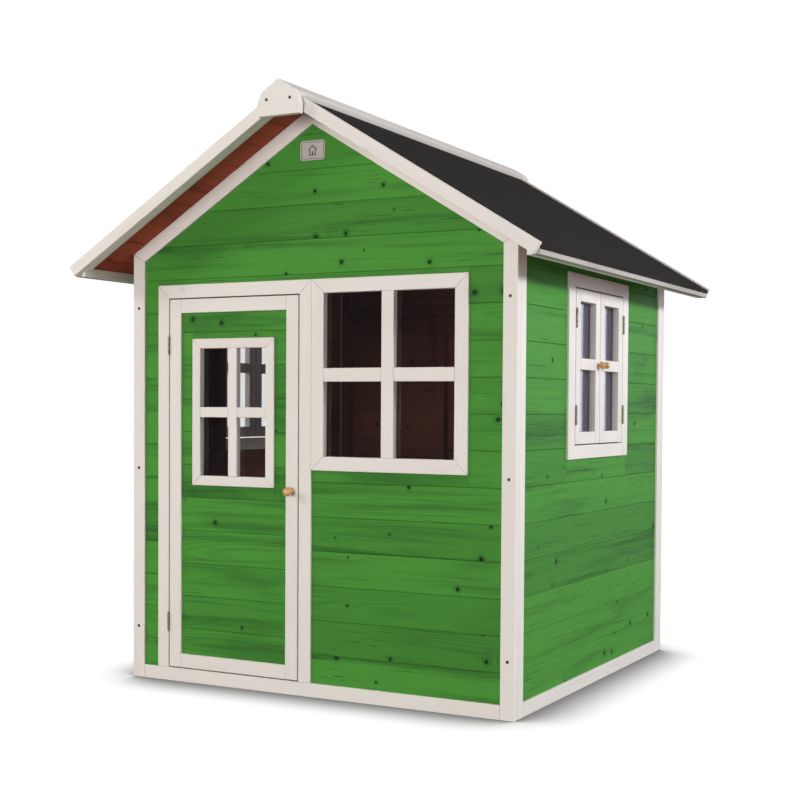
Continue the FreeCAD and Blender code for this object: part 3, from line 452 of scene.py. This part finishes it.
def clear_pane(name, haze_and_reflection):
    """Clear plastic sheet: see-through, with reflections, a faint tint and a bluish diffuse layer, which is
    a faint haze of scratches on most panes and a painted reflection on the casements.
    """
    material, tree = new_material(name)
    place = add(tree, "TexCoord").outputs["Object"]
    ripple = noise(tree, place, 6.0, 1.0)
    normal = bump_from(tree, ripple, 0.0008, 0.6)
    clear = add(tree, "BsdfTransparent", {"Color": (0.96, 0.965, 0.97, 1)})
    # bluish diffuse layer: faint scratches on most panes, a painted reflection on the casements
    haze_and_painted_reflection = add(tree, "BsdfDiffuse", {"Color": (0.51, 0.57, 1.0, 1)})
    clear = add(tree, "MixShader", {0: haze_and_reflection, 1: clear.outputs[0], 2: haze_and_painted_reflection.outputs[0]})
    gloss = add(tree, "BsdfGlossy", {"Color": (0.92, 0.93, 1.0, 1), "Roughness": 0.04, "Normal": normal})
    away = add(tree, "LayerWeight", {"Blend": 0.5, "Normal": normal}).outputs["Facing"]
    slant = calc(tree, "POWER", away, 5.0)
    bounce = calc(tree, "MULTIPLY_ADD", slant, 1.0 - PANE_REFLECTION, PANE_REFLECTION)
    shader = add(tree, "MixShader", {0: bounce, 1: clear.outputs[0], 2: gloss.outputs[0]})
    finish_material(tree, shader.outputs[0])
    return material


def metal(name, bright, dull, roughness):
    """Cast or rolled metal, tarnished in patches."""
    material, tree = new_material(name)
    place = add(tree, "TexCoord").outputs["Object"]
    tarnish = noise(tree, place, 180.0, 4.0, 0.65)
    colour = mix(tree, rise(tree, tarnish, 0.35, 0.7), bright, dull)
    shader = add(tree, "BsdfPrincipled", {
        "Base Color": colour,
        "Roughness": rise(tree, tarnish, 0.3, 0.8, roughness - 0.08, roughness + 0.2),
        "Normal": bump_from(tree, tarnish, 0.0002),
    })
    shader.inputs["Metallic"].default_value = 1.0
    finish_material(tree, shader.outputs[0])
    return material


def turned_wood():
    """Varnished beech, turned, with fine lathe lines."""
    material, tree = new_material("turned_wood")
    place = add(tree, "TexCoord").outputs["Object"]
    grain = noise(tree, stretch(tree, place, (300.0, 90.0, 60.0)), 1.0, 3.0, 0.6)
    fleck = noise(tree, stretch(tree, place, (900.0, 200.0, 900.0)), 1.0, 2.0)
    colour = mix(tree, rise(tree, grain, 0.35, 0.7), (0.62, 0.36, 0.15, 1), (0.40, 0.20, 0.07, 1))
    colour = mix(tree, rise(tree, fleck, 0.6, 0.8, 0.0, 0.5), colour, (0.25, 0.11, 0.04, 1))
    shader = add(tree, "BsdfPrincipled", {
        "Base Color": colour, "Normal": bump_from(tree, fleck, 0.00015),
    })
    shader.inputs["Roughness"].default_value = 0.32
    shader.inputs["Coat Weight"].default_value = 0.4
    shader.inputs["Coat Roughness"].default_value = 0.15
    finish_material(tree, shader.outputs[0])
    return material


def plate_plastic(name, light, dark):
    """Moulded plastic, slightly uneven."""
    material, tree = new_material(name)
    place = add(tree, "TexCoord").outputs["Object"]
    cloud = noise(tree, place, 40.0, 3.0)
    colour = mix(tree, rise(tree, cloud, 0.3, 0.7), light, dark)
    shader = add(tree, "BsdfPrincipled", {
        "Base Color": colour, "Normal": bump_from(tree, cloud, 0.0002),
    })
    shader.inputs["Roughness"].default_value = 0.5
    finish_material(tree, shader.outputs[0])
    return material


# ---- the object ----

BROWN_COAT = ((0.12, 0.033, 0.018, 1), (0.065, 0.017, 0.010, 1), (0.02, 0.006, 0.004, 1))
# The roof boards' red-brown stain, made much brighter than the same stain indoors: painted light on the
# soffit.
SOFFIT_PAINTED_LIGHT_COAT = ((0.40, 0.078, 0.040, 1), (0.19, 0.038, 0.021, 1), (0.04, 0.010, 0.006, 1))
# The real red-brown stain on the inside of the walls, kept darker than on the soffit: painted shade inside
# the closed house.
INSIDE_STAIN_AND_PAINTED_SHADE = ((0.15, 0.048, 0.021, 1), (0.08, 0.024, 0.012, 1), (0.02, 0.007, 0.004, 1))
GREEN_COAT = ((0.061, 0.254, 0.035, 1), (0.022, 0.102, 0.0185, 1), (0.006, 0.022, 0.005, 1))
GREEN = stained("green_stain", (GREEN_COAT, INSIDE_STAIN_AND_PAINTED_SHADE))
BROWN = stained("brown_stain", (BROWN_COAT,))
SOFFIT_PAINTED_LIGHT = stained("soffit_stain_painted_light", (SOFFIT_PAINTED_LIGHT_COAT,))
WHITE = painted("white_paint", (0.70, 0.675, 0.65, 1), (0.60, 0.565, 0.53, 1))
# Dark grey copy of the white paint for the eave fascias: painted shade from the felt overhang above them.
FASCIA_PAINTED_SHADE = painted("fascia_paint_painted_shade", (0.34, 0.315, 0.28, 1), (0.24, 0.215, 0.185, 1))
FELT = roofing_felt()
PANE = clear_pane("clear_plastic", PANE_HAZE)
# casement panes carry a strong bluish diffuse layer: a painted reflection
CASEMENT_PANE_PAINTED_REFLECTION = clear_pane("casement_plastic_painted_reflection", CASEMENT_PAINTED_REFLECTION)
BRASS = metal("dull_brass", (0.36, 0.30, 0.22, 1), (0.17, 0.13, 0.09, 1), 0.42)
STEEL = metal("dark_steel", (0.10, 0.09, 0.08, 1), (0.04, 0.03, 0.025, 1), 0.5)
KNOB = turned_wood()
PLATE = plate_plastic("plate_plastic", (0.48, 0.455, 0.43, 1), (0.43, 0.405, 0.38, 1))
INK = plate_plastic("plate_ink", (0.115, 0.09, 0.07, 1), (0.08, 0.062, 0.05, 1))
SLOTS = {
    "green_paint": GREEN, "white_paint": WHITE, "brown_timber": BROWN, "roofing_felt": FELT,
    "clear_plastic": PANE, "bare_wood": KNOB, "dark_steel": STEEL, "brass": BRASS, "plate": PLATE,
}
# Nodes whose coat differs from their slot: the fascia and soffit coats carry painted shade and light, and
# the casement panes a painted reflection.
COATS = {
    "eave_fascias": FASCIA_PAINTED_SHADE, "roof_boards_left": SOFFIT_PAINTED_LIGHT, "roof_boards_right": SOFFIT_PAINTED_LIGHT,
    "left_front_pane": CASEMENT_PANE_PAINTED_REFLECTION, "left_rear_pane": CASEMENT_PANE_PAINTED_REFLECTION,
    "right_front_pane": CASEMENT_PANE_PAINTED_REFLECTION, "right_rear_pane": CASEMENT_PANE_PAINTED_REFLECTION,
}
TIMBERS = ("green_paint", "white_paint", "brown_timber")
ALONG_X = Vector((1, 0, 0))
ALONG_Y = Vector((0, 1, 0))
INWARD = {
    "front_boards": ALONG_Y, "door_boards": ALONG_Y, "back_boards": -ALONG_Y,
    "left_boards": ALONG_X, "right_boards": -ALONG_X,
}
GRAIN = {
    "front_boards": ALONG_X, "back_boards": ALONG_X, "door_boards": ALONG_X,
    "left_boards": ALONG_Y, "right_boards": ALONG_Y, "floor_boards": ALONG_Y,
    "roof_boards_left": ALONG_Y, "roof_boards_right": ALONG_Y,
}

for part in frame["record"]["subparts"]:
    node, slot = part["node"], part["material_slot"]
    coat = COATS.get(node, SLOTS[slot])
    if slot in TIMBERS:
        arris = BOARD_ARRIS if node in GRAIN else ARRIS
        piece = timber(node, coat, GRAIN.get(node), arris, INWARD.get(node))
    else:
        obj = frame["nodes"][node]
        for i in range(len(obj.material_slots)):
            obj.material_slots[i].material = coat


def rounded_ring(half_x, half_z, radius):
    """Points round a rectangle with rounded corners."""
    ring = []
    for x_sign, z_sign, start in ((1, 1, 0), (-1, 1, 90), (-1, -1, 180), (1, -1, 270)):
        for step in range(0, 91, BORDER_STEP):
            turn = math.radians(start + step)
            ring.append((
                x_sign * (half_x - radius) + radius * math.cos(turn),
                z_sign * (half_z - radius) + radius * math.sin(turn),
            ))
    return ring


def mark_outlines():
    """The strokes of the house sign: two slopes in one, two walls, the ground and the door."""
    gable = [
        (-EAVE_OUT, 0.002), (0.0, 0.014), (EAVE_OUT, 0.002), (0.011, 0.0), (0.0, 0.0102), (-0.011, 0.0),
    ]
    left = [(-WALL_OUT, WALL_FOOT), (-WALL_OUT, 0.0), (-WALL_IN, 0.0023), (-WALL_IN, WALL_FOOT)]
    right = [(-x, z) for x, z in left]
    ground = [(-WALL_IN, WALL_FOOT), (WALL_IN, WALL_FOOT), (WALL_IN, SILL_TOP), (-WALL_IN, SILL_TOP)]
    door = [(-DOOR_HALF, SILL_TOP), (DOOR_HALF, SILL_TOP), (DOOR_HALF, DOOR_TOP), (-DOOR_HALF, DOOR_TOP)]
    return gable, left, right, ground, door


def plate_mark():
    """A raised border and a plain house sign on the name plate."""
    corners = [Vector(c) for c in frame["nodes"]["name_plate"].bound_box]
    low = Vector([min(c[i] for c in corners) for i in range(3)])
    high = Vector([max(c[i] for c in corners) for i in range(3)])
    mid = (low + high) / 2
    half_x = (high.x - low.x) / 2 - BORDER_INSET
    half_z = (high.z - low.z) / 2 - BORDER_INSET
    border = [
        rounded_ring(half_x - size, half_z - size, BORDER_RADIUS - size) for size in (0.0, BORDER_WIDTH)
    ]
    mesh = bpy.data.meshes.new("plate_mark")
    bm = bmesh.new()
    front = low.y - MARK_HEIGHT

    def point(x, y, z):
        return bm.verts.new((mid.x + x, y, mid.z + z))

    for outline in mark_outlines():
        near = [point(x, front, z) for x, z in outline]
        far = [point(x, low.y, z) for x, z in outline]
        bm.faces.new(near)
        bm.faces.new(far[::-1])
        for i in range(len(outline)):
            j = (i + 1) % len(outline)
            bm.faces.new((near[i], far[i], far[j], near[j]))
    loops = [[point(x, y, z) for x, z in ring] for ring in border for y in (front, low.y)]
    outer_near, outer_far, inner_near, inner_far = loops
    for i in range(len(outer_near)):
        j = (i + 1) % len(outer_near)
        bm.faces.new((outer_near[i], outer_near[j], inner_near[j], inner_near[i]))
        bm.faces.new((outer_near[i], outer_far[i], outer_far[j], outer_near[j]))
        bm.faces.new((inner_near[i], inner_near[j], inner_far[j], inner_far[i]))
        bm.faces.new((outer_far[i], inner_far[i], inner_far[j], outer_far[j]))
    bmesh.ops.recalc_face_normals(bm, faces=bm.faces[:])
    bm.to_mesh(mesh)
    bm.free()
    mark = bpy.data.objects.new("plate_mark", mesh)
    bpy.context.scene.collection.objects.link(mark)
    mesh.materials.append(INK)
    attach(mark, frame["nodes"]["name_plate"]["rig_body"])


plate_mark()

# ---- floor, light and camera ----

def plane(name, z, colour):
    """A large level plane with its material's tree and shader."""
    mesh = bpy.data.meshes.new(name)
    corners = [(FLOOR_HALF * x, FLOOR_HALF * y, z) for x, y in ((-1, -1), (1, -1), (1, 1), (-1, 1))]
    mesh.from_pydata(corners, [], [(0, 1, 2, 3)])
    made = bpy.data.objects.new(name, mesh)
    bpy.context.scene.collection.objects.link(made)
    material, tree = new_material(name)
    shader = add(tree, "BsdfPrincipled", {"Base Color": (*colour, 1), "Roughness": 1.0})
    shader.inputs["Specular IOR Level"].default_value = 0.0
    finish_material(tree, shader.outputs[0])
    mesh.materials.append(material)
    return made, tree, shader


def make_floor():
    """A white floor that the camera sees, over a greyer one that the light bounces from.

    The white one glows, and is darkened softly where the house stands on it: a painted shadow.
    """
    shown, tree, shader = plane("floor_shown", 0.0, (0.0, 0.0, 0.0))
    shown.visible_diffuse = False
    shown.visible_glossy = False
    shown.visible_shadow = False
    near = add(tree, "AmbientOcclusion", {"Distance": SHADOW_REACH}, samples=32).outputs["AO"]
    glow = rise(tree, near, 0.42, 1.0, SHADOW_DEPTH, FLOOR_LEVEL)
    colour = mix(tree, rise(tree, near, 0.5, 1.0), (0.985, 0.99, 0.965, 1), (1.0, 1.0, 1.0, 1))
    tree.links.new(colour, shader.inputs["Emission Color"])
    tree.links.new(glow, shader.inputs["Emission Strength"])
    bounce, _, _ = plane("floor_bounce", -BOUNCE_DEPTH, (0.35, 0.32, 0.295))
    bounce.visible_camera = False


def area_light(name, at, aim, size, power, colour):
    data = bpy.data.lights.new(name, "AREA")
    data.shape = "RECTANGLE"
    data.size, data.size_y = size
    data.energy = power
    data.color = colour
    light = bpy.data.objects.new(name, data)
    light.location = at
    light.rotation_euler = (Vector(aim) - Vector(at)).to_track_quat("-Z", "Y").to_euler()
    light.visible_camera = False
    bpy.context.scene.collection.objects.link(light)


def make_world():
    """White where the camera looks past the object, and a dim studio for everything else."""
    world = bpy.data.worlds.new("studio")
    bpy.context.scene.world = world
    world.use_nodes = True
    tree = world.node_tree
    tree.nodes.clear()
    toward = add(tree, "TexCoord").outputs["Generated"]
    along = add(tree, "SeparateXYZ", {0: toward})
    screen = add(tree, "VectorMath", {0: toward, 1: SCREEN_TOWARD}, operation="DOT_PRODUCT")
    opposite = add(tree, "VectorMath", {0: toward, 1: DARK_TOWARD}, operation="DOT_PRODUCT")
    dim = rise(tree, along.outputs[2], 0.0, 0.9, ROOM_LEVEL, ROOM_LEVEL * CEILING_SHARE)
    dim = calc(tree, "MULTIPLY", dim, rise(tree, opposite.outputs["Value"], 0.80, 0.95, 1.0, DARK_SHARE))
    bright = rise(tree, screen.outputs["Value"], 0.80, 0.97)
    level = calc(tree, "MULTIPLY_ADD", bright, SCREEN_LEVEL, dim)
    seen = add(tree, "LightPath").outputs["Is Camera Ray"]
    strength = calc(tree, "MAXIMUM", level, calc(tree, "MULTIPLY", seen, BACKDROP_LEVEL))
    colour = mix(tree, bright, (1.0, 0.88, 0.81, 1), (0.97, 1.0, 1.16, 1))
    colour = mix(tree, seen, colour, (1.0, 1.0, 1.0, 1))
    back = add(tree, "Background", {"Color": colour, "Strength": strength})
    add(tree, "OutputWorld", {"Surface": back.outputs[0]})


def make_camera():
    forward = Vector((
        -math.sin(CAMERA_TURN) * math.cos(CAMERA_TILT),
        math.cos(CAMERA_TURN) * math.cos(CAMERA_TILT),
        math.sin(CAMERA_TILT),
    ))
    right = Vector((math.cos(CAMERA_TURN), math.sin(CAMERA_TURN), 0))
    up = right.cross(forward)
    c, s = math.cos(CAMERA_ROLL), math.sin(CAMERA_ROLL)
    right, up = c * right + s * up, c * up - s * right
    data = bpy.data.cameras.new("camera")
    data.lens = CAMERA_LENS
    data.sensor_width = 36.0
    data.shift_y = CAMERA_RISE
    camera = bpy.data.objects.new("camera", data)
    camera.matrix_world = Matrix((right, up, -forward)).transposed().to_4x4()
    camera.location = CAMERA_AT
    bpy.context.scene.collection.objects.link(camera)
    bpy.context.scene.camera = camera


make_floor()
for lamp in LAMPS:
    area_light(*lamp)
make_world()
make_camera()
bpy.context.scene.view_settings.view_transform = "Standard"
